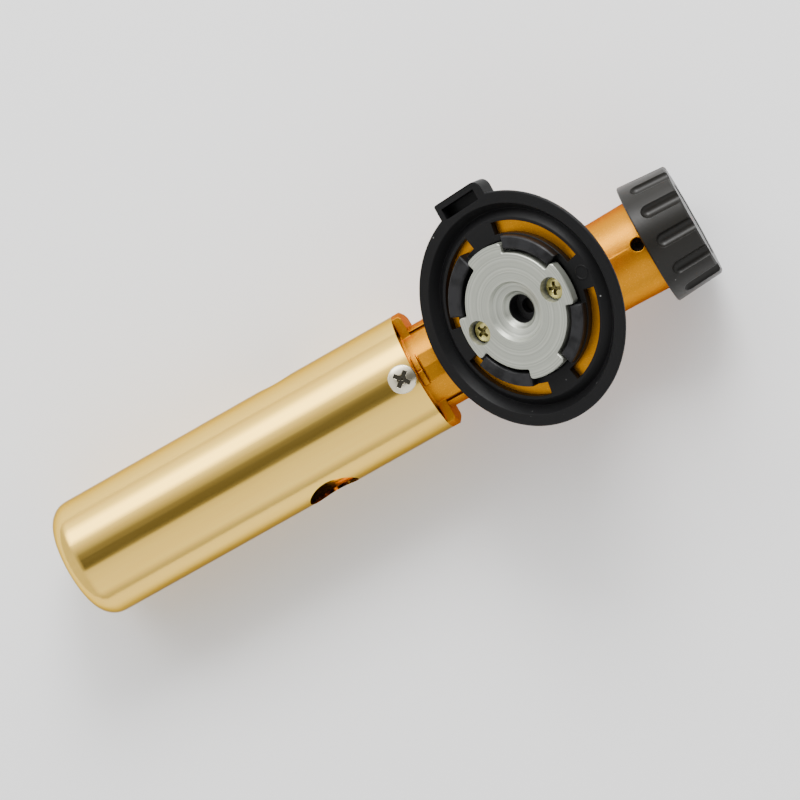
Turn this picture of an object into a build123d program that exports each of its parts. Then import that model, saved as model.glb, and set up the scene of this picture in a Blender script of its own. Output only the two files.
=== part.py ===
"""Butane torch head for a bayonet gas canister.

Millimetres. The origin is the mouth of the valve stem socket. +X runs along the burner, towards the
flame. +Z points up, to the side where the canister is fitted. The body axis is parallel to X and
lies below the origin. The canister axis leans from +Z towards +X.
"""

from build123d import *
from math import asin, cos, degrees, hypot, radians, sin, sqrt, tan
import os

# ---------------------------------------------------------------- driving dimensions
CANISTER_TILT = 30.4          # degrees between the canister axis and +Z
AXIS_DROP = 31.0              # body axis below the origin

TUBE_R = 16.35                # flame tube, outside
TUBE_WALL = 0.8
TUBE_REAR_X = 33.3
TUBE_TIP_X = 138.7
TUBE_LIP_ROUND = 5.7
TUBE_MOUTH_R = 10.0
AIR_HOLE_R = 7.0
AIR_HOLE_X = TUBE_REAR_X + 35.0
AIR_HOLE_TURN = -79.0         # degrees about +X from +Z, towards +Y
TUBE_SCREW_X = TUBE_REAR_X + 3.4
TUBE_SCREW_TURNS = (0, 180)

BARREL_R_REAR = 12.45
BARREL_R_MID = 12.1
NECK_R = 11.85
BARREL_REAR_X = -35.5
NECK_START_X = 6.0

RIM_C = 1.2                   # front of the guide disc's rim, above the origin along the canister axis
DISC_R = 30.0
DISC_BAND_R = 27.0            # inner edge of the flat rim band
DISC_TROUGH = (25.2, -1.4)    # radius and height of the groove's bottom, inside the rim band
DISC_LAND_R = (17.6, 23.2)    # raised land that the windows go through
DISC_LAND_C = 0.3
DISC_FLOOR_C = -1.4           # deep floor around the bayonet plate
DISC_BACK_C = -3.2
DISC_RECESS_R = (18.3, 23.5)  # groove in the disc's back, over the casting's raised ring
DISC_RECESS_C = -1.5
WINDOW_R = (19.25, 22.45)
WINDOW_HALF_ANGLE = 33.5
RIB_R = ((15.9, 19.35), (15.7, 19.05), (15.7, 19.05), (16.4, 20.3))  # from the tip side, through +Y
RIB_HALF_ANGLE = 24.5
RIB_TOP_C = 2.8

PLATE_FACE_C = 3.3
PLATE_R = 14.8
LUG_R = 17.36
LUG_UNDER_C = 0.9
LUG_HALF_ANGLE = 19.5
LUG_ROUND = (0.9, 0.5)        # lug's outer corners, and its corners with the plate
SPIGOT_PLATE_R = 13.93        # plate's spigot in the guide disc
SOCKET_R = 3.55               # hole in the plate around the canister's valve stem
STEM_R = 2.0                  # hole in the rubber seal that the stem enters
ADAPTER_SCREW_A = 12.7        # screws on the tip and knob sides of the canister axis

FLANGE_R = 23.4
FLANGE_THICK = 2.7
FLANGE_RING_R = 18.4          # inside of the raised ring on the flange

KNOB_FRONT_X = -33.0
KNOB_REAR_X = -46.4
KNOB_R_FRONT = 16.45
KNOB_R_REAR = 15.5
FLUTES = 12
FLUTE_R = 2.1
FLUTE_LIFT = 0.75             # flute centre line above the knob's surface
FLUTE_START_X = -38.0
FLUTE_TURN = 6.0              # degrees from +Z towards +Y to the first flute

RUNNING = 0.05                # radial clearance of a running fit

# ---------------------------------------------------------------- frames
DISC = Plane(
    origin=(0, 0, 0),
    x_dir=(cos(radians(CANISTER_TILT)), 0, -sin(radians(CANISTER_TILT))),
    z_dir=(sin(radians(CANISTER_TILT)), 0, cos(radians(CANISTER_TILT))),
)
BODY = Plane(origin=(0, 0, -AXIS_DROP), x_dir=(1, 0, 0), z_dir=(0, -1, 0))
BODY_AXIS = Axis((0, 0, -AXIS_DROP), (1, 0, 0))
AXIS_MEETS_C = -AXIS_DROP / cos(radians(CANISTER_TILT))


def turned(points):
    """Solid turned about the body axis from a closed outline of (x, radius) points."""
    return revolve(BODY * make_face(Polyline(*points, close=True)), BODY_AXIS, 360)


def shaft(radius, x_from, x_to, bore=0):
    """Round bar or sleeve on the body axis."""
    return turned([(x_from, bore), (x_to, bore), (x_to, radius), (x_from, radius)])


def disc_turned(points):
    """Solid turned about the canister axis, in disc coordinates, from (radius, height) points."""
    return revolve(Plane.XZ * make_face(Polyline(*points, close=True)), Axis.Z, 360)


def post(radius, low, high, a=0.0, b=0.0):
    """Round bar along the canister axis, in disc coordinates."""
    bar = Cylinder(radius, high - low, align=(Align.CENTER, Align.CENTER, Align.MIN))
    return Pos(a, b, low) * bar


def arc_block(r_in, r_out, half_angle, low, high, centre_angle):
    """Sector of a ring about the canister axis, in disc coordinates."""
    ring = post(r_out, low, high) - post(r_in, low, high)
    reach = 2 * r_out
    spread = reach * tan(radians(half_angle))
    wedge = Polyline((0, 0), (reach, -spread), (reach, spread), close=True)
    sector = Rot(0, 0, centre_angle) * (Pos(0, 0, low) * extrude(make_face(wedge), high - low))
    return ring & sector


def side_bar(radius, x, r_from, r_to, turn=0.0):
    """Round bar square to the body axis, at x, turned about +X from +Z."""
    bar = Cylinder(radius, r_to - r_from, align=(Align.CENTER, Align.CENTER, Align.MIN))
    return Pos(x, 0, -AXIS_DROP) * Rot(turn, 0, 0) * Pos(0, 0, r_from) * bar


def hexagon_bar(across_flats, x_from, x_to):
    """Hexagon bar on the body axis."""
    outline = RegularPolygon(across_flats / 2, 6, major_radius=False)
    start = Plane(origin=(x_from, 0, -AXIS_DROP), x_dir=(0, 1, 0), z_dir=(1, 0, 0))
    return extrude(start * outline, x_to - x_from)


def cross_recess(size, depth):
    """Cutter for a cross-head recess. Its open side is at height 0 and it points down."""
    arm = Box(size, size * 0.26, depth * 2)
    point = Cone(0.01, size * 0.3, depth * 1.3, align=(Align.CENTER, Align.CENTER, Align.MAX))
    return arm + Rot(0, 0, 90) * arm + point


def pan_screw(head_r, head_h, shank_r, shank_length):
    """Domed cross-head screw, its head's underside at height 0."""
    rim_r = head_r - 0.2
    rim_h = head_h * 0.6
    drop = head_h - rim_h
    dome_r = (rim_r * rim_r + drop * drop) / (2 * drop)
    halfway = (rim_r / 2, head_h - dome_r + sqrt(dome_r * dome_r - rim_r * rim_r / 4))
    side = Polyline((0, head_h), (0, 0), (head_r, 0), (head_r, rim_h - 0.2), (rim_r, rim_h))
    dome = ThreePointArc((rim_r, rim_h), halfway, (0, head_h))
    head = revolve(Plane.XZ * make_face(Wire([*side.edges(), dome])), Axis.Z, 360)
    shank = Cylinder(shank_r, shank_length, align=(Align.CENTER, Align.CENTER, Align.MAX))
    return head + shank - Pos(0, 0, head_h) * cross_recess(head_r * 1.25, head_h * 0.65)


# ---------------------------------------------------------------- body casting
FLANGE_TOP_C = DISC_BACK_C
FLANGE_LOW_C = FLANGE_TOP_C - FLANGE_THICK
BOSS_R_TOP = 16.0
BOSS_R_LOW = 10.5
BOSS_CONE_C = (-17.0, -11.0)
EAR_THICK = 2.4
EAR_HALF_HEIGHT = 6.5
SPIGOT_R = TUBE_R - TUBE_WALL - RUNNING
SPIGOT_X = (TUBE_REAR_X + 1.0, 45.5)
POCKET_R = (8.0, 13.0)
POCKET_START_X = 39.5
NOSE_R = 5.5
NOSE_END_X = 50.0
JET_BORE_R = 3.0
JET_BORE_START_X = 38.0
JET_FILTER_R = 2.2
GAS_WAY_R = 1.2
SEAT_X = -13.0
CHAMBER_R = 3.0
PISTON_BORE_R = 4.0
PISTON_BORE_X = (-29.5, -22.6)
BONNET_BORE_R = 6.0
INLET_R = 1.5
SEAL_POCKET_R = 5.5
SEAL_POCKET_DEEP = 1.7
FILTER_POCKET_R = 3.4
FILTER_POCKET_DEEP = 2.0
RING_GROOVE_R = (6.6, 8.4)
RING_GROOVE_DEEP = 1.5
ADAPTER_SCREW_R = 1.5
ADAPTER_SCREW_END_C = -10.5
GRUB_X = -31.4
GRUB_HOLE_R = 1.8
GRUB_TURN = 3.5               # degrees about +X from +Z, towards -Y
SEAM_X = (-31.0, -15.0)
SEAM_WIDTH = 0.5
SEAM_HEIGHT = 0.2
PAD_HALF_WIDTH = 3.7
PAD_TOP_R = 12.5
PAD_EDGE_R = 12.05
NECK_STEP = 0.55
NECK_STEP_HALF_WIDTH = 10.2
PAD_X = (NECK_START_X + 6, TUBE_REAR_X - 2.1)
CROSSBAR_X = (TUBE_REAR_X - 1.7, TUBE_REAR_X - 0.3)
CROSSBAR_HALF_WIDTH = 4.2
CROSSBAR_TOP_R = 12.9
CROSSBAR_NOTCH = (0.5, 0.45)  # width and depth at the crest
WEB_THICK = 5.0


def neck_pad():
    """Raised pad with a ridge, on the crest of the neck."""
    outline = Polyline(
        (-PAD_HALF_WIDTH, 0),
        (PAD_HALF_WIDTH, 0),
        (PAD_HALF_WIDTH, PAD_EDGE_R),
        (0, PAD_TOP_R),
        (-PAD_HALF_WIDTH, PAD_EDGE_R),
        close=True,
    )
    start = Plane(origin=(PAD_X[0], 0, -AXIS_DROP), x_dir=(0, 1, 0), z_dir=(1, 0, 0))
    return extrude(start * make_face(outline), PAD_X[1] - PAD_X[0])


def crossbar():
    """Curved bar across the crest, beside the flame tube, with a notch in its middle."""
    width, depth = CROSSBAR_NOTCH
    arc = shaft(CROSSBAR_TOP_R, *CROSSBAR_X, NECK_R - 2)
    middle = Pos(sum(CROSSBAR_X) / 2, 0, -AXIS_DROP)
    upwards = (Align.CENTER, Align.CENTER, Align.MIN)
    bar = arc & middle * Box(4, 2 * CROSSBAR_HALF_WIDTH, 2 * TUBE_R, align=upwards)
    return bar - middle * Pos(0, 0, CROSSBAR_TOP_R - depth) * Box(4, width, 2, align=upwards)


def ear_plate():
    """Two ears that the flame tube butts against, one on each side."""
    rear_x = TUBE_REAR_X - EAR_THICK
    plate = turned([
        (rear_x, 0),
        (TUBE_REAR_X, 0),
        (TUBE_REAR_X, TUBE_R),
        (rear_x + 0.6, TUBE_R),
        (rear_x, TUBE_R - 0.8),
    ])
    band = Box(20, 4 * TUBE_R, 2 * EAR_HALF_HEIGHT)
    return plate & Pos(TUBE_REAR_X, 0, -AXIS_DROP) * band


def spigot():
    """Front end of the casting, inside the flame tube: flange, pocket, screw bosses and nose."""
    solid = shaft(SPIGOT_R, *SPIGOT_X) + shaft(NOSE_R, SPIGOT_X[1], NOSE_END_X)
    pocket = shaft(POCKET_R[1], POCKET_START_X, SPIGOT_X[1], POCKET_R[0])
    for turn in TUBE_SCREW_TURNS:
        boss = Box(40, 9, 2 * TUBE_R, align=(Align.CENTER, Align.CENTER, Align.MIN))
        pocket -= Pos(SPIGOT_X[0], 0, -AXIS_DROP) * Rot(turn, 0, 0) * boss
    return solid - pocket


def in_plane(a, c):
    """X and Z of a point in the plane of symmetry, from disc coordinates."""
    tilt = radians(CANISTER_TILT)
    return (a * cos(tilt) + c * sin(tilt), c * cos(tilt) - a * sin(tilt))


def gusset():
    """Web in the plane of symmetry, between the flange and the rear of the barrel."""
    low_z = -AXIS_DROP + BARREL_R_MID - 2
    outline = Polyline(
        in_plane(-20.0, FLANGE_LOW_C + 0.5),
        (-16.5, low_z),
        (0, low_z),
        in_plane(0, FLANGE_LOW_C - 1),
        close=True,
    )
    return extrude(Plane.XZ * make_face(outline), WEB_THICK / 2, both=True)


def canister_mounting():
    """Flange with its raised ring, and the boss that carries it, in disc coordinates."""
    flange = post(FLANGE_R, FLANGE_LOW_C, DISC_RECESS_C - 0.05) - post(FLANGE_RING_R, FLANGE_TOP_C, 0)
    flange = fillet(flange.edges().sort_by(Axis.Z)[0], 1.2)
    boss = disc_turned([
        (0, AXIS_MEETS_C),
        (BOSS_R_LOW, AXIS_MEETS_C),
        (BOSS_R_LOW, BOSS_CONE_C[0]),
        (BOSS_R_TOP, BOSS_CONE_C[1]),
        (BOSS_R_TOP, FLANGE_LOW_C + 0.5),
        (0, FLANGE_LOW_C + 0.5),
    ])
    return flange + boss


def parting_seam():
    """Low ridge that the die left along the top of the barrel."""
    ridge = Box(SEAM_X[1] - SEAM_X[0], SEAM_WIDTH, 2.0, align=(Align.MIN, Align.CENTER, Align.MAX))
    ridge = Pos(0, 0, BARREL_R_MID + SEAM_HEIGHT) * ridge
    return Pos(SEAM_X[0], 0, -AXIS_DROP) * Rot(GRUB_TURN, 0, 0) * ridge


def casting_bores():
    """Every bore of the gas way, on the body axis and down the canister axis."""
    rear = shaft(BONNET_BORE_R, BARREL_REAR_X - 1, PISTON_BORE_X[0])
    rear += shaft(PISTON_BORE_R, *PISTON_BORE_X)
    rear += shaft(CHAMBER_R, PISTON_BORE_X[1], SEAT_X)
    front = shaft(GAS_WAY_R, SEAT_X, JET_BORE_START_X)
    front += shaft(JET_FILTER_R, JET_BORE_START_X - 2.6, JET_BORE_START_X)
    front += shaft(JET_BORE_R, JET_BORE_START_X, NOSE_END_X + 1)
    top = FLANGE_TOP_C
    inlet = post(INLET_R, AXIS_MEETS_C, top)
    inlet += post(FILTER_POCKET_R, top - SEAL_POCKET_DEEP - FILTER_POCKET_DEEP, top)
    inlet += post(SEAL_POCKET_R, top - SEAL_POCKET_DEEP, top + 1)
    inlet += post(RING_GROOVE_R[1], top - RING_GROOVE_DEEP, top + 1) - post(
        RING_GROOVE_R[0], top - RING_GROOVE_DEEP, top + 1
    )
    for side in (1, -1):
        inlet += post(ADAPTER_SCREW_R, ADAPTER_SCREW_END_C, top + 1, a=side * ADAPTER_SCREW_A)
    return rear + front + DISC * inlet


def body_casting():
    barrel = turned([
        (BARREL_REAR_X, 0),
        (TUBE_REAR_X + 2, 0),
        (TUBE_REAR_X + 2, NECK_R),
        (NECK_START_X, NECK_R),
        (NECK_START_X - 8, BARREL_R_MID),
        (-22.0, BARREL_R_MID),
        (BARREL_REAR_X + 0.5, BARREL_R_REAR),
        (BARREL_REAR_X, BARREL_R_REAR - 0.5),
    ])
    step_ring = shaft(NECK_R + 2, PAD_X[0], TUBE_REAR_X, NECK_R - NECK_STEP)
    step_zone = Pos(PAD_X[0], 0, -AXIS_DROP) * Box(
        60, 2 * NECK_STEP_HALF_WIDTH, 2 * TUBE_R, align=(Align.MIN, Align.CENTER, Align.MIN)
    )
    barrel -= step_ring & step_zone
    solid = barrel + DISC * canister_mounting() + gusset() + ear_plate() + spigot()
    solid += neck_pad() + crossbar() + parting_seam()
    solid -= casting_bores()
    solid -= side_bar(GRUB_HOLE_R, GRUB_X, BONNET_BORE_R - 1, TUBE_R, GRUB_TURN)
    for turn in TUBE_SCREW_TURNS:
        solid -= side_bar(1.5, TUBE_SCREW_X, 9.0, TUBE_R, turn)
    return solid


# ---------------------------------------------------------------- guide disc
TAB_HALF_WIDTH = 7.7
TAB_OUT_B = -33.0
TAB_IN_B = -26.9
TAB_DEEP = 4.2
TAB_SLOT = (11.4, 2.9)
TAB_SLOT_AT = (0.35, -29.9)
TAB_SLOT_DEEP = 3.2
TAB_ROUND_KNOB_SIDE = 2.5
TAB_ROUND_TIP_SIDE = 0.6
MARK_A = -21.0
MARK_R = (1.55, 1.85)


def disc_tab():
    """Block on the disc's edge with a blind slot in it."""
    tab = Pos(0, 0, RIM_C - TAB_DEEP) * extrude(
        Pos(0, (TAB_OUT_B + TAB_IN_B) / 2) * Rectangle(2 * TAB_HALF_WIDTH, TAB_IN_B - TAB_OUT_B),
        TAB_DEEP,
    )
    corners = tab.edges().filter_by(Axis.Z).group_by(Axis.Y)[0].sort_by(Axis.X)
    tab = fillet(corners[0], TAB_ROUND_KNOB_SIDE)
    corners = tab.edges().filter_by(Axis.Z).group_by(Axis.Y)[0].sort_by(Axis.X)
    tab = fillet(corners[-1], TAB_ROUND_TIP_SIDE)
    return tab - post(DISC_BAND_R, RIM_C - TAB_DEEP - 1, RIM_C + 1)


def guide_disc():
    edge_c = RIM_C - 0.7
    solid = disc_turned([
        (SPIGOT_PLATE_R + RUNNING, DISC_BACK_C),
        (DISC_RECESS_R[0], DISC_BACK_C),
        (DISC_RECESS_R[0], DISC_RECESS_C),
        (DISC_RECESS_R[1], DISC_RECESS_C),
        (DISC_RECESS_R[1], DISC_BACK_C),
        (DISC_R - (edge_c - DISC_BACK_C), DISC_BACK_C),
        (DISC_R, edge_c),
        (DISC_R, RIM_C - 0.25),
        (DISC_R - 0.25, RIM_C),
        (DISC_BAND_R, RIM_C),
        DISC_TROUGH,
        (DISC_LAND_R[1], DISC_LAND_C),
        (DISC_LAND_R[0], DISC_LAND_C),
        (DISC_LAND_R[0], DISC_FLOOR_C),
        (SPIGOT_PLATE_R + RUNNING, DISC_FLOOR_C),
    ])
    solid += disc_tab()
    slot = Box(*TAB_SLOT, 2 * TAB_SLOT_DEEP)
    solid -= Pos(*TAB_SLOT_AT, RIM_C) * slot
    for quarter in range(4):
        angle = 45 + 90 * quarter
        solid -= arc_block(*WINDOW_R, WINDOW_HALF_ANGLE, DISC_BACK_C - 1, RIM_C, angle)
        rib = arc_block(*RIB_R[quarter], RIB_HALF_ANGLE, DISC_FLOOR_C - 0.05, RIB_TOP_C, angle)
        rib = chamfer(rib.faces().sort_by(Axis.Z)[-1].edges(), 0.35)
        solid += rib
    for side in (1, -1):
        solid -= post(ADAPTER_SCREW_R + 0.1, DISC_BACK_C - 1, DISC_FLOOR_C + 0.5, a=side * ADAPTER_SCREW_A)
    mark = post(MARK_R[1], DISC_LAND_C - 0.2, DISC_LAND_C + 0.15, a=MARK_A)
    mark -= post(MARK_R[0], DISC_LAND_C - 0.3, DISC_LAND_C + 0.3, a=MARK_A)
    return DISC * (solid + mark)


# ---------------------------------------------------------------- canister adapter
COUNTERBORE_R = 3.2
COUNTERBORE_C = 0.5


def bayonet_plate():
    outline = Circle(PLATE_R)
    reach = 2 * LUG_R
    spread = reach * tan(radians(LUG_HALF_ANGLE))
    wedge = make_face(Polyline((0, 0), (reach, -spread), (reach, spread), close=True))
    for quarter in range(4):
        outline += Circle(LUG_R) & (Rot(0, 0, 90 * quarter) * wedge)
    middle_r = (PLATE_R + LUG_R) / 2
    tips = [point for point in outline.vertices() if hypot(point.X, point.Y) > middle_r]
    outline = fillet(tips, LUG_ROUND[0])
    roots = [point for point in outline.vertices() if abs(hypot(point.X, point.Y) - PLATE_R) < 0.01]
    outline = fillet(roots, LUG_ROUND[1])
    lugs = Pos(0, 0, LUG_UNDER_C) * extrude(outline, PLATE_FACE_C - LUG_UNDER_C)
    lugs = chamfer(lugs.faces().sort_by(Axis.Z)[-1].edges(), 0.2)
    solid = lugs + post(PLATE_R, DISC_FLOOR_C, LUG_UNDER_C + 0.5)
    solid += post(SPIGOT_PLATE_R, DISC_BACK_C, DISC_FLOOR_C + 0.1)
    recess = disc_turned([
        (0, DISC_BACK_C - 1),
        (SOCKET_R, DISC_BACK_C - 1),
        (SOCKET_R, 0.1),
        (4.3, 0.7),
        (4.9, 1.5),
        (7.1, 2.4),
        (7.7, PLATE_FACE_C),
        (7.7, PLATE_FACE_C + 1),
        (0, PLATE_FACE_C + 1),
    ])
    solid -= recess
    for side in (1, -1):
        solid -= post(ADAPTER_SCREW_R + 0.1, DISC_BACK_C - 1, PLATE_FACE_C, a=side * ADAPTER_SCREW_A)
        solid -= post(COUNTERBORE_R, COUNTERBORE_C, PLATE_FACE_C + 1, a=side * ADAPTER_SCREW_A)
    return DISC * solid


def bayonet_screws():
    length = COUNTERBORE_C - ADAPTER_SCREW_END_C - 0.3
    screws = []
    for side in (1, -1):
        screw = Rot(0, 0, 22 * side) * pan_screw(2.75, 1.5, ADAPTER_SCREW_R - 0.02, length)
        screws.append(DISC * (Pos(side * ADAPTER_SCREW_A, 0, COUNTERBORE_C) * screw))
    return Compound(children=screws)


def stem_seal():
    low = FLANGE_TOP_C - SEAL_POCKET_DEEP
    return DISC * (post(SEAL_POCKET_R - 0.1, low, FLANGE_TOP_C) - post(STEM_R, low, FLANGE_TOP_C))


def adapter_o_ring():
    section_r = RING_GROOVE_DEEP / 2 - 0.02
    return DISC * (Pos(0, 0, FLANGE_TOP_C - RING_GROOVE_DEEP / 2) * Torus(sum(RING_GROOVE_R) / 2, section_r))


def inlet_filter():
    low = FLANGE_TOP_C - SEAL_POCKET_DEEP - FILTER_POCKET_DEEP
    return DISC * post(FILTER_POCKET_R - 0.05, low, low + FILTER_POCKET_DEEP)


# ---------------------------------------------------------------- burner
MIX_R_IN = NOSE_R + RUNNING
MIX_R_OUT = MIX_R_IN + 0.85
MIX_START_X = SPIGOT_X[1] + 0.2
THROAT_R = 3.4
BURNER_FACE_X = 116.0
BURNER_R = 9.5


def flame_tube():
    outer = TUBE_R
    inner = TUBE_R - TUBE_WALL
    bend_x = TUBE_TIP_X - TUBE_LIP_ROUND
    bend_r = TUBE_R - TUBE_LIP_ROUND
    corner = sin(radians(45))
    inner_round = TUBE_LIP_ROUND - TUBE_WALL
    outline = [
        Line((TUBE_REAR_X, inner), (TUBE_REAR_X, outer)),
        Line((TUBE_REAR_X, outer), (bend_x, outer)),
        ThreePointArc(
            (bend_x, outer),
            (bend_x + TUBE_LIP_ROUND * corner, bend_r + TUBE_LIP_ROUND * corner),
            (TUBE_TIP_X, bend_r),
        ),
        Line((TUBE_TIP_X, bend_r), (TUBE_TIP_X, TUBE_MOUTH_R)),
        Line((TUBE_TIP_X, TUBE_MOUTH_R), (TUBE_TIP_X - TUBE_WALL, TUBE_MOUTH_R)),
        Line((TUBE_TIP_X - TUBE_WALL, TUBE_MOUTH_R), (TUBE_TIP_X - TUBE_WALL, bend_r)),
        ThreePointArc(
            (TUBE_TIP_X - TUBE_WALL, bend_r),
            (bend_x + inner_round * corner, bend_r + inner_round * corner),
            (bend_x, inner),
        ),
        Line((bend_x, inner), (TUBE_REAR_X, inner)),
    ]
    solid = revolve(BODY * make_face(Wire(outline)), BODY_AXIS, 360)
    for turn in (AIR_HOLE_TURN, AIR_HOLE_TURN + 180):
        solid -= side_bar(AIR_HOLE_R, AIR_HOLE_X, 8, TUBE_R + 4, turn)
    for turn in TUBE_SCREW_TURNS:
        solid -= side_bar(1.6, TUBE_SCREW_X, 8, TUBE_R + 4, turn)
    return solid


def flame_tube_screws():
    screws = []
    for turn in TUBE_SCREW_TURNS:
        screw = Rot(0, 0, 40) * pan_screw(3.7, 1.7, 1.48, 6.7)
        screws.append(Pos(TUBE_SCREW_X, 0, -AXIS_DROP) * Rot(turn, 0, 0) * Pos(0, 0, TUBE_R) * screw)
    return Compound(children=screws)


def mixing_tube():
    solid = turned([
        (MIX_START_X, MIX_R_IN),
        (MIX_START_X, MIX_R_OUT),
        (76.0, MIX_R_OUT),
        (82.0, THROAT_R + 0.9),
        (88.0, THROAT_R + 0.9),
        (100.0, MIX_R_OUT),
        (106.0, MIX_R_OUT),
        (106.0, MIX_R_IN),
        (100.0, MIX_R_IN),
        (88.0, THROAT_R),
        (82.0, THROAT_R),
        (76.0, MIX_R_IN),
    ])
    for quarter in range(4):
        solid -= side_bar(2.6, AIR_HOLE_X, 2, TUBE_R, 90 * quarter)
    return solid


def burner_head():
    solid = turned([
        (100.5, MIX_R_OUT + 0.03),
        (100.5, MIX_R_OUT + 1.1),
        (106.0, MIX_R_OUT + 1.1),
        (108.0, BURNER_R),
        (BURNER_FACE_X - 0.6, BURNER_R),
        (BURNER_FACE_X, BURNER_R - 0.6),
        (BURNER_FACE_X, 0),
        (BURNER_FACE_X - 3.2, 0),
        (BURNER_FACE_X - 3.2, BURNER_R - 1.2),
        (108.0, BURNER_R - 1.2),
        (106.1, MIX_R_OUT + 0.03),
    ])
    ports = [(2.2, 0, 0)]
    ports += [(0.9, 6.3, 360 / 12 * i) for i in range(12)]
    for radius, ring, turn in ports:
        port = Pos(0, 0, ring) * Rot(0, 90, 0) * Cylinder(radius, 10)
        solid -= Pos(BURNER_FACE_X, 0, -AXIS_DROP) * Rot(turn, 0, 0) * port
    return solid


def burner_gauze():
    disc = shaft(BURNER_R - 1.25, 109.6, 110.4)
    pitch = 2.1
    for row in range(-3, 4):
        for column in range(-3, 4):
            if (row * row + column * column) * pitch * pitch < 45:
                hole = Box(4, 1.3, 1.3)
                disc -= Pos(110.0, row * pitch, -AXIS_DROP + column * pitch) * hole
    return disc


def centring_spider():
    """Star washer that holds the burner head in the middle of the flame tube."""
    x = (110.6, 111.8)
    solid = shaft(BURNER_R + 1.6, *x)
    for arm in range(4):
        bar = Box(x[1] - x[0], 4.0, SPIGOT_R - 3, align=(Align.MIN, Align.CENTER, Align.MIN))
        foot = Box(4.0, 4.0, 0.9, align=(Align.MIN, Align.CENTER, Align.MIN))
        limb = Pos(0, 0, 2.4) * bar + Pos(0, 0, SPIGOT_R - 1.5) * foot
        solid += Pos(x[0], 0, -AXIS_DROP) * Rot(45 + 90 * arm, 0, 0) * limb
    return solid - shaft(BURNER_R + 0.03, x[0] - 1, x[1] + 1)


JET_HEX_X = (NOSE_END_X + 0.8, NOSE_END_X + 4.6)
JET_TIP_X = NOSE_END_X + 8.5


def gas_jet():
    solid = shaft(JET_BORE_R - 0.02, JET_BORE_START_X + 0.3, JET_HEX_X[0])
    solid += hexagon_bar(8.0, *JET_HEX_X)
    solid += turned([(JET_HEX_X[1], 0), (JET_HEX_X[1], 3.2), (JET_TIP_X, 1.6), (JET_TIP_X, 0)])
    solid -= shaft(1.4, JET_BORE_START_X, JET_TIP_X - 1.6)
    return solid - shaft(0.25, JET_TIP_X - 2, JET_TIP_X + 1)


def jet_washer():
    return shaft(4.6, NOSE_END_X, JET_HEX_X[0], JET_BORE_R)


def jet_filter():
    return shaft(JET_FILTER_R - 0.03, JET_BORE_START_X - 2.5, JET_BORE_START_X - 0.1)


# ---------------------------------------------------------------- valve
BONNET_FRONT_X = -30.2
BONNET_HEX_X = (-37.7, -36.1)
THREAD_R = 3.0
PISTON_R = 3.85
PISTON_REAR_X = -28.8
SPINDLE_REAR_X = -41.8
DRIVE_R = 2.2
GROOVE_X = (-27.1, -25.1)
GROOVE_R = 2.45
NEEDLE_R = 2.0
NEEDLE_SHOULDER_X = -14.5
NEEDLE_TIP_X = -11.4
PACKING_R = 4.4
PACKING_X = (-37.7, -36.4)


def gland_nut():
    solid = shaft(BONNET_BORE_R - 0.02, BONNET_HEX_X[1], BONNET_FRONT_X)
    solid += hexagon_bar(12.0, *BONNET_HEX_X)
    solid -= shaft(THREAD_R + RUNNING, BONNET_HEX_X[0] - 1, BONNET_FRONT_X + 1)
    return solid - shaft(PACKING_R + 0.02, PACKING_X[0] - 1, PACKING_X[1])


def gland_washer():
    return shaft(8.0, BONNET_HEX_X[1], BARREL_REAR_X, BONNET_BORE_R + 0.05)


def gland_packing():
    return shaft(PACKING_R, *PACKING_X, THREAD_R + RUNNING)


def grub_screw():
    solid = side_bar(GRUB_HOLE_R - 0.03, GRUB_X, BONNET_BORE_R + 0.02, 9.0, GRUB_TURN)
    socket = extrude(RegularPolygon(0.8, 6, major_radius=False), 3)
    return solid - Pos(GRUB_X, 0, -AXIS_DROP) * Rot(GRUB_TURN, 0, 0) * Pos(0, 0, 7.6) * socket


def needle_spindle():
    solid = turned([
        (SPINDLE_REAR_X, 0),
        (SPINDLE_REAR_X, DRIVE_R),
        (-38.0, DRIVE_R),
        (-38.0, THREAD_R),
        (PISTON_REAR_X, THREAD_R),
        (PISTON_REAR_X, PISTON_R),
        (GROOVE_X[0], PISTON_R),
        (GROOVE_X[0], GROOVE_R),
        (GROOVE_X[1], GROOVE_R),
        (GROOVE_X[1], PISTON_R),
        (-23.6, PISTON_R),
        (-22.9, NEEDLE_R),
        (NEEDLE_SHOULDER_X, NEEDLE_R),
        (NEEDLE_TIP_X, 0.2),
        (NEEDLE_TIP_X, 0),
    ])
    flat = Pos(-40.0, 0, -AXIS_DROP + 1.7) * Box(4.2, 6, 2, align=(Align.CENTER, Align.CENTER, Align.MIN))
    return solid - flat - shaft(1.25, SPINDLE_REAR_X - 1, -34.0)


def spindle_o_ring():
    ring = Torus(3.2, 0.7)
    middle = sum(GROOVE_X) / 2
    return Pos(middle, 0, -AXIS_DROP) * Rot(0, 90, 0) * ring


# ---------------------------------------------------------------- knob
KNOB_SKIRT_R = 13.1
KNOB_WEB_X = -38.2
KNOB_CAP_R = 10.2
KNOB_CAP_X = -43.9
HUB_HOLE_R = 3.8


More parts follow.
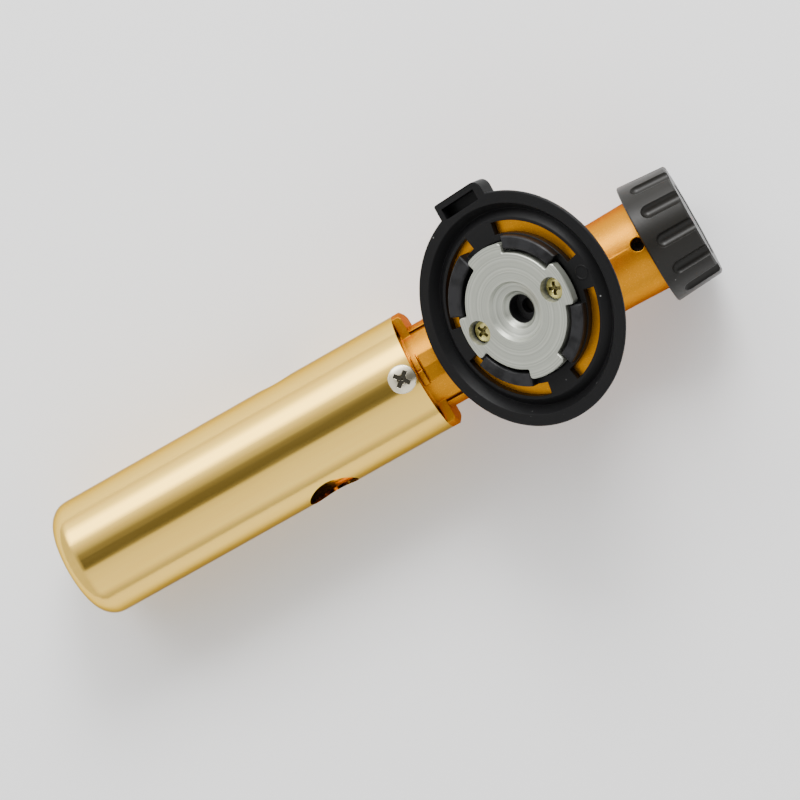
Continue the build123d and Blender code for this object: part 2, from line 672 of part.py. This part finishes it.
def control_knob():
    solid = turned([
        (KNOB_FRONT_X, KNOB_SKIRT_R),
        (KNOB_FRONT_X, KNOB_R_FRONT - 0.3),
        (KNOB_FRONT_X - 0.3, KNOB_R_FRONT),
        (KNOB_REAR_X + 0.5, KNOB_R_REAR),
        (KNOB_REAR_X, KNOB_R_REAR - 0.5),
        (KNOB_REAR_X, KNOB_CAP_R),
        (KNOB_CAP_X, KNOB_CAP_R),
        (KNOB_CAP_X, HUB_HOLE_R),
        (KNOB_WEB_X, HUB_HOLE_R),
        (KNOB_WEB_X, KNOB_SKIRT_R),
    ])
    slope = degrees(asin((KNOB_R_FRONT - KNOB_R_REAR) / (KNOB_FRONT_X - KNOB_REAR_X)))
    reach = 20.0
    start_r = KNOB_R_FRONT + FLUTE_LIFT - sin(radians(slope)) * (KNOB_FRONT_X - FLUTE_START_X)
    groove = Cylinder(FLUTE_R, reach, align=(Align.CENTER, Align.CENTER, Align.MIN)) + Sphere(FLUTE_R)
    groove = Pos(FLUTE_START_X, 0, start_r) * Rot(0, -90 - slope, 0) * groove
    for index in range(FLUTES):
        turn = -FLUTE_TURN - 360 / FLUTES * index
        solid -= Pos(0, 0, -AXIS_DROP) * Rot(turn, 0, 0) * groove
    return solid


def knob_insert():
    solid = shaft(HUB_HOLE_R - 0.02, -42.0, KNOB_WEB_X, DRIVE_R + 0.03)
    flat = Pos(-40.1, 0, -AXIS_DROP + 1.75) * Box(3.6, 3.4, 1.0, align=(Align.CENTER, Align.CENTER, Align.MIN))
    bore = shaft(DRIVE_R + 0.5, -41.9, KNOB_WEB_X - 0.1)
    return solid + (flat & bore)


def knob_screw():
    screw = pan_screw(3.2, 1.6, 1.2, 6.2)
    return Pos(-42.05, 0, -AXIS_DROP) * Rot(0, -90, 0) * screw


def knob_cap():
    solid = turned([
        (KNOB_CAP_X - 0.05, 0),
        (KNOB_CAP_X - 0.05, KNOB_CAP_R - 0.05),
        (KNOB_REAR_X + 0.6, KNOB_CAP_R - 0.05),
        (KNOB_REAR_X + 0.2, KNOB_CAP_R - 0.7),
        (KNOB_REAR_X + 0.2, 0),
    ])
    pointer = Pos(KNOB_REAR_X + 0.3, 0, -AXIS_DROP + 5.4) * Box(1.0, 1.4, 6.4)
    return solid - pointer


def knob_pointer():
    """Coloured index bar let into the cap."""
    return Pos(KNOB_REAR_X + 0.5, 0, -AXIS_DROP + 5.4) * Box(0.58, 1.36, 6.36)


# ---------------------------------------------------------------- written parts
PARTS = {
    "body_casting": body_casting,
    "guide_disc": guide_disc,
    "bayonet_plate": bayonet_plate,
    "bayonet_screws": bayonet_screws,
    "stem_seal": stem_seal,
    "adapter_o_ring": adapter_o_ring,
    "inlet_filter": inlet_filter,
    "flame_tube": flame_tube,
    "flame_tube_screws": flame_tube_screws,
    "mixing_tube": mixing_tube,
    "burner_head": burner_head,
    "burner_gauze": burner_gauze,
    "centring_spider": centring_spider,
    "gas_jet": gas_jet,
    "jet_washer": jet_washer,
    "jet_filter": jet_filter,
    "gland_nut": gland_nut,
    "gland_washer": gland_washer,
    "gland_packing": gland_packing,
    "grub_screw": grub_screw,
    "needle_spindle": needle_spindle,
    "spindle_o_ring": spindle_o_ring,
    "control_knob": control_knob,
    "knob_insert": knob_insert,
    "knob_screw": knob_screw,
    "knob_cap": knob_cap,
    "knob_pointer": knob_pointer,
}

os.makedirs("parts", exist_ok=True)
for node, make in PARTS.items():
    export_step(make(), f"parts/{node}.step")
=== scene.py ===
from math import cos, pi, radians, sin, sqrt

import bpy
from mathutils import Matrix, Vector


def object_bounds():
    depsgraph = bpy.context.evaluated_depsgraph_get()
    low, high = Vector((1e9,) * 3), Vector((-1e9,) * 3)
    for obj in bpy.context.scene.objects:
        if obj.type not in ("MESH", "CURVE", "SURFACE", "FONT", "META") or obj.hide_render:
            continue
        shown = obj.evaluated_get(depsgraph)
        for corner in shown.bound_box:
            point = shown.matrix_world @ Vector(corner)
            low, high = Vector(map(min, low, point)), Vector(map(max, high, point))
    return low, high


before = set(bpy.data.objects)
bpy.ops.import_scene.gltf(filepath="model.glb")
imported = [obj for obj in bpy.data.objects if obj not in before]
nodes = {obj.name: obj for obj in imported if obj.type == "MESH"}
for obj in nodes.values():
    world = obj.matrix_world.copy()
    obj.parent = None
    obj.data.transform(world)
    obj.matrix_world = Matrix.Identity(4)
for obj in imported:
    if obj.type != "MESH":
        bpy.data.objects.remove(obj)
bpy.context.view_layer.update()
MM = 0.001

# ------------------------------------------------------------------ camera
# The camera looks down on the side where the canister fits. It leans a little towards the knob and to +Y.
RIM_CENTRE = Vector((0.607, 0, 1.035)) * MM
KNOB_LEAN = radians(8.39)
SIDE_LEAN = radians(2.50)
PICTURE_TURN = radians(29.37)
DISTANCE = 746 * MM
AIM_ALONG = 36.58 * MM
AIM_ACROSS = -4.97 * MM
FOCAL_RATIO = 3028 / 800
SENSOR = 36.0


def make_camera():
    back = Vector((-sin(KNOB_LEAN), sin(SIDE_LEAN), 0))
    back.z = sqrt(1 - back.length_squared)
    along = Vector((-1, 0, 0))
    along = (along - back * along.dot(back)).normalized()
    across = back.cross(along)
    if across.y < 0:
        across = -across
    right = along * cos(PICTURE_TURN) + across * sin(PICTURE_TURN)
    up = along * sin(PICTURE_TURN) - across * cos(PICTURE_TURN)
    place = RIM_CENTRE + back * DISTANCE - along * AIM_ALONG - across * AIM_ACROSS
    data = bpy.data.cameras.new("camera")
    data.sensor_width = SENSOR
    data.lens = FOCAL_RATIO * SENSOR
    data.clip_start = 0.01
    camera = bpy.data.objects.new("camera", data)
    bpy.context.scene.collection.objects.link(camera)
    matrix = Matrix((right, up, back)).transposed().to_4x4()
    matrix.translation = place
    camera.matrix_world = matrix
    bpy.context.scene.camera = camera
    return right, up, back


RIGHT, UP, BACK = make_camera()

# ------------------------------------------------------------------ shader maths


class Sock:
    """Wraps a node socket so that maths on it is written as Python."""

    def __init__(self, make, socket):
        self.make = make
        self.socket = socket

    def _math(self, operation, *others):
        return self.make("ShaderNodeMath", {"operation": operation}, self, *others)

    def __add__(self, other):
        return self._math("ADD", other)

    def __mul__(self, other):
        return self._math("MULTIPLY", other)

    __rmul__ = __mul__

    def __sub__(self, other):
        return self._math("SUBTRACT", other)

    def __rsub__(self, other):
        return self.make("ShaderNodeMath", {"operation": "SUBTRACT"}, other, self)

    def __truediv__(self, other):
        return self._math("DIVIDE", other)

    def __pow__(self, other):
        return self._math("POWER", other)

    def __gt__(self, other):
        return self._math("GREATER_THAN", other)

    def absolute(self):
        return self._math("ABSOLUTE")

    def sine(self):
        return self._math("SINE")

    def between(self, low, high):
        """0 below low, 1 above high, and smooth from one to the other."""
        settings = {"interpolation_type": "SMOOTHSTEP"}
        return self.make("ShaderNodeMapRange", settings, self, low, high, 0.0, 1.0)


class Graph:
    """Adds nodes to one node tree."""

    def __init__(self, tree, place):
        self.tree = tree
        self.place = self.make("ShaderNodeTexCoord", {}, output=place)

    def make(self, kind, settings, *values, output=0, **named):
        node = self.tree.nodes.new(kind)
        for key, value in settings.items():
            if key == "stops":
                self._set_stops(node.color_ramp, value)
            else:
                setattr(node, key, value)
        pairs = list(enumerate(values)) + [(k.replace("_", " "), v) for k, v in named.items()]
        for key, value in pairs:
            if isinstance(value, Sock):
                self.tree.links.new(value.socket, node.inputs[key])
            elif value is not None:
                node.inputs[key].default_value = value
        return Sock(self.make, node.outputs[output])

    @staticmethod
    def _set_stops(ramp, stops):
        while len(ramp.elements) < len(stops):
            ramp.elements.new(0.5)
        for element, (position, colour) in zip(ramp.elements, stops):
            element.position = position
            element.color = (*colour, 1)

    def noise(self, scale, detail=3.0, roughness=0.5, vector=None):
        place = vector or self.place
        settings = {"Scale": scale, "Detail": detail, "Roughness": roughness}
        return self.make("ShaderNodeTexNoise", {}, Vector=place, **settings)

    def specks(self, scale, size, vector=None):
        """Small round spots, 1 in the middle and 0 outside."""
        near = self.make("ShaderNodeTexVoronoi", {}, Vector=vector or self.place, Scale=scale, Randomness=1.0)
        return 1 - near.between(size * 0.4, size)

    def mapping(self, turn=(0, 0, 0), scale=(1, 1, 1)):
        """Object coordinates, turned, then stretched."""
        turned = self.make("ShaderNodeMapping", {}, Vector=self.place, Rotation=turn)
        return self.make("ShaderNodeMapping", {}, Vector=turned, Scale=scale)

    def axes(self, vector=None):
        node = self.tree.nodes.new("ShaderNodeSeparateXYZ")
        self.tree.links.new((vector or self.place).socket, node.inputs[0])
        return [Sock(self.make, out) for out in node.outputs]

    def ramp(self, value, *stops):
        return self.make("ShaderNodeValToRGB", {"stops": stops}, value)

    def mix(self, share, first, second):
        node = self.tree.nodes.new("ShaderNodeMix")
        node.data_type = "RGBA"
        for index, value in ((0, share), (6, first), (7, second)):
            if isinstance(value, Sock):
                self.tree.links.new(value.socket, node.inputs[index])
            elif isinstance(value, (int, float)):
                node.inputs[index].default_value = value
            else:
                node.inputs[index].default_value = (*value, 1)
        return Sock(self.make, node.outputs[2])


class Material(Graph):
    """A procedural material on one Principled shader."""

    def __init__(self, name, **fixed):
        self.material = bpy.data.materials.new(name)
        self.material.use_nodes = True
        super().__init__(self.material.node_tree, "Object")
        self.shader = self.tree.nodes["Principled BSDF"]
        for socket, value in fixed.items():
            self.shader.inputs[socket.replace("_", " ")].default_value = value

    def relief(self, height, distance, soft_edge=0.0):
        """Bump of the given height in metres, over edges that look rounded to soft_edge."""
        under = None
        if soft_edge:
            under = self.make("ShaderNodeBevel", {"samples": 6}, Radius=soft_edge)
        bump = self.make("ShaderNodeBump", {}, Height=height, Distance=distance, Strength=1.0, Normal=under)
        self.set(Normal=bump)

    def set(self, **sockets):
        for key, value in sockets.items():
            self.tree.links.new(value.socket, self.shader.inputs[key.replace("_", " ")])


# ------------------------------------------------------------------ floor and light
FLOOR_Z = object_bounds()[0].z
GREY_STEPS = (
    # angle about the torch from the view, in degrees, towards +Y, and brightness
    (-180, 0.9),
    (-100, 1.1),
    (-86, 1.8),
    (-72, 2.6),
    (-60, 6.4),
    (-46, 6.4),
    (-36, 1.7),
    (-24, 0.95),
    (-14, 0.36),
    (-8, 0.22),
    (10, 0.17),
    (14, 0.28),
    (17, 1.2),
    (31, 1.4),
    (67, 1.6),
    (80, 0.9),
    (96, 0.5),
    (180, 0.5),
)
PLAIN_LIGHT = 1.05
SIDE_TO_SIDE = sin(SIDE_LEAN)


def make_floor():
    bpy.ops.object.select_all(action="DESELECT")
    bpy.ops.mesh.primitive_plane_add(size=6, location=(0, 0, FLOOR_Z - 0.0002))
    floor = bpy.context.object
    floor.name = "floor"
    finish = Material("pale floor", Base_Color=(0.93, 0.93, 0.93, 1), Roughness=0.8)
    floor.data.materials.append(finish.material)


def make_studio():
    """Soft light from all round: a bright band on the -Y side, and a dark strip over the torch."""
    world = bpy.data.worlds.new("studio")
    bpy.context.scene.world = world
    world.use_nodes = True
    graph = Graph(world.node_tree, "Generated")
    x, y, z = graph.axes()
    turn = graph.make("ShaderNodeMath", {"operation": "ARCTAN2"}, y - SIDE_TO_SIDE * z, z + SIDE_TO_SIDE * y)
    share = turn / (2 * pi) + 0.5
    brightest = max(grey for _, grey in GREY_STEPS)
    stops = [((angle + 180) / 360, (grey / brightest,) * 3) for angle, grey in GREY_STEPS]
    banded = graph.ramp(share, *stops)
    over_middle = 1 - (x + sin(KNOB_LEAN)).absolute().between(0.45, 0.8)
    plain = (PLAIN_LIGHT / brightest,) * 3
    background = world.node_tree.nodes["Background"]
    colour = graph.mix(over_middle, plain, banded)
    graph.tree.links.new(colour.socket, background.inputs["Color"])
    background.inputs["Strength"].default_value = brightest


def area_light(name, place, target, size, power):
    data = bpy.data.lights.new(name, "AREA")
    data.energy = power
    data.size = size
    light = bpy.data.objects.new(name, data)
    bpy.context.scene.collection.objects.link(light)
    light.location = place
    light.rotation_euler = (target - place).to_track_quat("-Z", "Y").to_euler()


make_floor()
make_studio()
MIDDLE = Vector((0.04, 0, -0.03))
area_light("key", MIDDLE + UP * 0.75 + BACK * 0.6 - RIGHT * 0.1, MIDDLE, 0.35, 7)


# ------------------------------------------------------------------ finishes
AXIS_DROP = -0.031
TILT = radians(30.4)
ALONG_CANISTER = (0, -TILT, 0)
TUBE_R = 0.01635


def paint(material, *names):
    for name in names:
        node = nodes[name]
        node.data.materials.clear()
        node.data.materials.append(material.material)


def tube_finish():
    """Polished steel, tinted gold, with fine lines along it."""
    m = Material("polished champagne tube", Metallic=1.0, Specular_Tint=(0.50, 0.43, 0.30, 1))
    fine = m.noise(2.2, 4.0, 0.6, vector=m.mapping(scale=(25, 420, 420)))
    broad = m.noise(1.0, 2.0, 0.5, vector=m.mapping(scale=(18, 60, 60)))
    tint = m.mix(fine, (0.89, 0.57, 0.105), (0.95, 0.64, 0.145))
    m.set(Base_Color=m.mix(broad.between(0.35, 0.75) * 0.35, tint, (0.86, 0.53, 0.09)))
    m.set(Roughness=fine * 0.10 + broad * 0.05 + 0.055)
    m.relief(broad * 0.6 + fine * 0.05, 0.00006)
    return m


def casting_finish():
    """Gold metallic paint, with a fine sparkling grain, over a die casting."""
    m = Material("gold painted casting", Metallic=0.96, Specular_Tint=(0.45, 0.16, 0.02, 1))
    grain = m.noise(2600.0, 2.0, 0.7)
    sparkle = m.noise(5200.0, 1.0).between(0.60, 0.72)
    cloud = m.noise(90.0, 2.0)
    base = m.mix(grain, (0.50, 0.20, 0.004), (0.72, 0.30, 0.010))
    base = m.mix(cloud * 0.4, base, (0.44, 0.165, 0.003))
    m.set(Base_Color=m.mix(sparkle * 0.4, base, (0.95, 0.55, 0.09)))
    m.set(Roughness=grain * 0.18 + 0.30)
    m.relief(grain + cloud * 0.8, 0.000022, 0.00035)
    return m


def moulded_finish(name, dark, light, shine, roughness, grain_height, sheen_above=None):
    """Moulded black plastic with a faint grain and a few dust specks.

    Above a height along the canister axis, where one is given, it is glossier and has painted sheen: the base
    colour is paler there.
    """
    m = Material(name, Specular_IOR_Level=shine)
    grain = m.noise(1500.0, 3.0, 0.6)
    flow = m.noise(40.0, 2.0)
    dust = m.specks(270.0, 0.075) * m.noise(90.0).between(0.50, 0.60)
    base = m.mix(flow, dark, light)
    painted_sheen = 0.0
    if sheen_above is not None:
        # painted sheen: above the height (the tops of the ribs) the base colour is paler and the roughness
        # lower
        height = m.axes(m.mapping(turn=ALONG_CANISTER))[2]
        painted_sheen = height.between(sheen_above, sheen_above + 0.0004) * m.noise(260.0).between(0.25, 0.6)
        base = m.mix(painted_sheen, base, tuple(channel * 3.2 for channel in light))
    m.set(Base_Color=m.mix(dust * 0.8, base, (0.30, 0.30, 0.29)))
    m.set(Roughness=grain * 0.14 + flow * 0.08 + roughness - painted_sheen * 0.1)
    m.relief(grain, grain_height, 0.0003)
    return m


RING_PITCH = 0.00022
# radius of the bore; inside it the plate is painted black as shade
BORE_SHADE_R = 0.0037


def turned_finish():
    """Aluminium turned on a lathe: rings about the canister axis, at two pitches. The bore wall, inside a
    radius of 3.7 mm, is painted shade: flat black and not metallic.
    """
    m = Material("turned aluminium")
    a, b, _ = m.axes(m.mapping(turn=ALONG_CANISTER))
    ring = (a * a + b * b) ** 0.5
    wobble = m.noise(600.0, 2.0) * 0.00004
    fine = ((ring + wobble) * (2 * pi / RING_PITCH)).sine() * 0.5 + 0.5
    along_radius = m.make("ShaderNodeCombineXYZ", {}, (ring + wobble * 2) * 1700, 0.0, 0.0)
    broad = m.noise(1.0, 3.0, 0.75, vector=along_radius).between(0.30, 0.70)
    stain = m.noise(260.0, 3.0, 0.6)
    base = m.mix(broad, (0.29, 0.305, 0.265), (0.56, 0.575, 0.505))
    base = m.mix(stain * 0.4, base, (0.34, 0.355, 0.305))
    # painted shade: inside the bore the wall is coloured near black and made non-metal, standing in for the
    # shade in the hole
    outside_bore_shade = ring > BORE_SHADE_R
    m.set(Base_Color=m.mix(outside_bore_shade, (0.006, 0.006, 0.006), base))
    m.set(Metallic=outside_bore_shade * 0.75)
    m.set(Roughness=broad * 0.14 + fine * 0.05 + 0.32)
    m.relief(fine * 0.4 + broad, 0.00003, 0.00012)
    return m


def recess_shade_mask(m, turn, centre, top, reach):
    """1 in a screw's cross recess, where shade is painted: below top, and within reach of the screw's axis.

    Heights and centre are in object coordinates after turn.
    """
    x, y, z = m.axes(m.mapping(turn=turn))
    across = ((x - centre[0]) ** 2 + (y - centre[1]) ** 2) ** 0.5
    return (1 - (z > top)) * (1 - (across > reach))


def metal_finish(name, dark, light, roughness, scale=700.0, recesses=()):
    """Plain machined or plated metal, with painted shade that darkens the cross recesses of screws."""
    m = Material(name, Metallic=1.0)
    grain = m.noise(scale, 3.0, 0.6)
    patch = m.noise(scale * 0.15, 2.0)
    colour = m.mix(patch, dark, light)
    for recess in recesses:
        # painted shade: inside each screw recess the colour is darkened towards 0.12 of the dark colour
        colour = m.mix(recess_shade_mask(m, *recess) * 0.8, colour, tuple(0.12 * channel for channel in dark))
    m.set(Base_Color=colour)
    m.set(Roughness=grain * 0.12 + roughness)
    m.relief(grain, 0.000008, 0.00008)
    return m


def soft_finish(name, colour, roughness):
    m = Material(name)
    grain = m.noise(900.0, 2.0)
    worn = tuple(min(1.0, channel * 1.3 + 0.004) for channel in colour)
    m.set(Base_Color=m.mix(grain, colour, worn))
    m.set(Roughness=grain * 0.1 + roughness)
    m.relief(grain, 0.00001)
    return m


TUBE = tube_finish()
CASTING = casting_finish()
DISC_PLASTIC = moulded_finish(
    "black moulding",
    dark=(0.0036, 0.0037, 0.004),
    light=(0.006, 0.006, 0.0064),
    shine=0.16,
    roughness=0.34,
    grain_height=0.00001,
    sheen_above=0.0016,
)
KNOB_PLASTIC = moulded_finish(
    "knob moulding",
    dark=(0.0095, 0.009, 0.0075),
    light=(0.014, 0.013, 0.011),
    shine=0.24,
    roughness=0.24,
    grain_height=0.000006,
)
ALUMINIUM = turned_finish()
# turn, centre, top and reach of each recess that shows, where shade is painted
PLATE_RECESSES = [(ALONG_CANISTER, (side * 0.0127, 0), 0.0015, 0.0018) for side in (1, -1)]
TUBE_RECESSES = [((0, 0, 0), (0.0367, 0), AXIS_DROP + TUBE_R + 0.00125, 0.0026)]
YELLOW_ZINC = metal_finish(
    "yellow zinc", (0.44, 0.38, 0.13), (0.64, 0.57, 0.25), 0.2, recesses=PLATE_RECESSES
)
NICKEL = metal_finish(
    "bright nickel", (0.74, 0.67, 0.49), (0.90, 0.83, 0.64), 0.1, recesses=TUBE_RECESSES
)
BRASS = metal_finish("machined brass", (0.60, 0.40, 0.12), (0.74, 0.52, 0.20), 0.24)
STAINLESS = metal_finish("plain stainless", (0.38, 0.37, 0.35), (0.50, 0.49, 0.46), 0.30)
COPPER = metal_finish("soft copper", (0.62, 0.28, 0.14), (0.76, 0.38, 0.22), 0.28)
SINTERED = metal_finish("sintered bronze", (0.05, 0.035, 0.02), (0.10, 0.07, 0.04), 0.55, 3000.0)
BLACK_STEEL = metal_finish("blackened steel", (0.015, 0.014, 0.013), (0.03, 0.028, 0.025), 0.4)
RUBBER = soft_finish("rubber", (0.004, 0.004, 0.004), 0.6)
PACKING = soft_finish("white packing", (0.70, 0.70, 0.68), 0.5)
POINTER = soft_finish("red pointer", (0.42, 0.012, 0.01), 0.35)

paint(TUBE, "flame_tube")
paint(CASTING, "body_casting")
paint(DISC_PLASTIC, "guide_disc")
paint(KNOB_PLASTIC, "control_knob", "knob_cap")
paint(ALUMINIUM, "bayonet_plate")
paint(YELLOW_ZINC, "bayonet_screws")
paint(NICKEL, "flame_tube_screws", "knob_screw")
paint(BRASS, "burner_head", "gas_jet", "gland_nut", "needle_spindle", "knob_insert")
paint(STAINLESS, "mixing_tube", "burner_gauze", "centring_spider")
paint(COPPER, "jet_washer", "gland_washer")
paint(SINTERED, "jet_filter")
paint(BLACK_STEEL, "grub_screw", "inlet_filter")
paint(RUBBER, "stem_seal", "adapter_o_ring", "spindle_o_ring")
paint(PACKING, "gland_packing")
paint(POINTER, "knob_pointer")
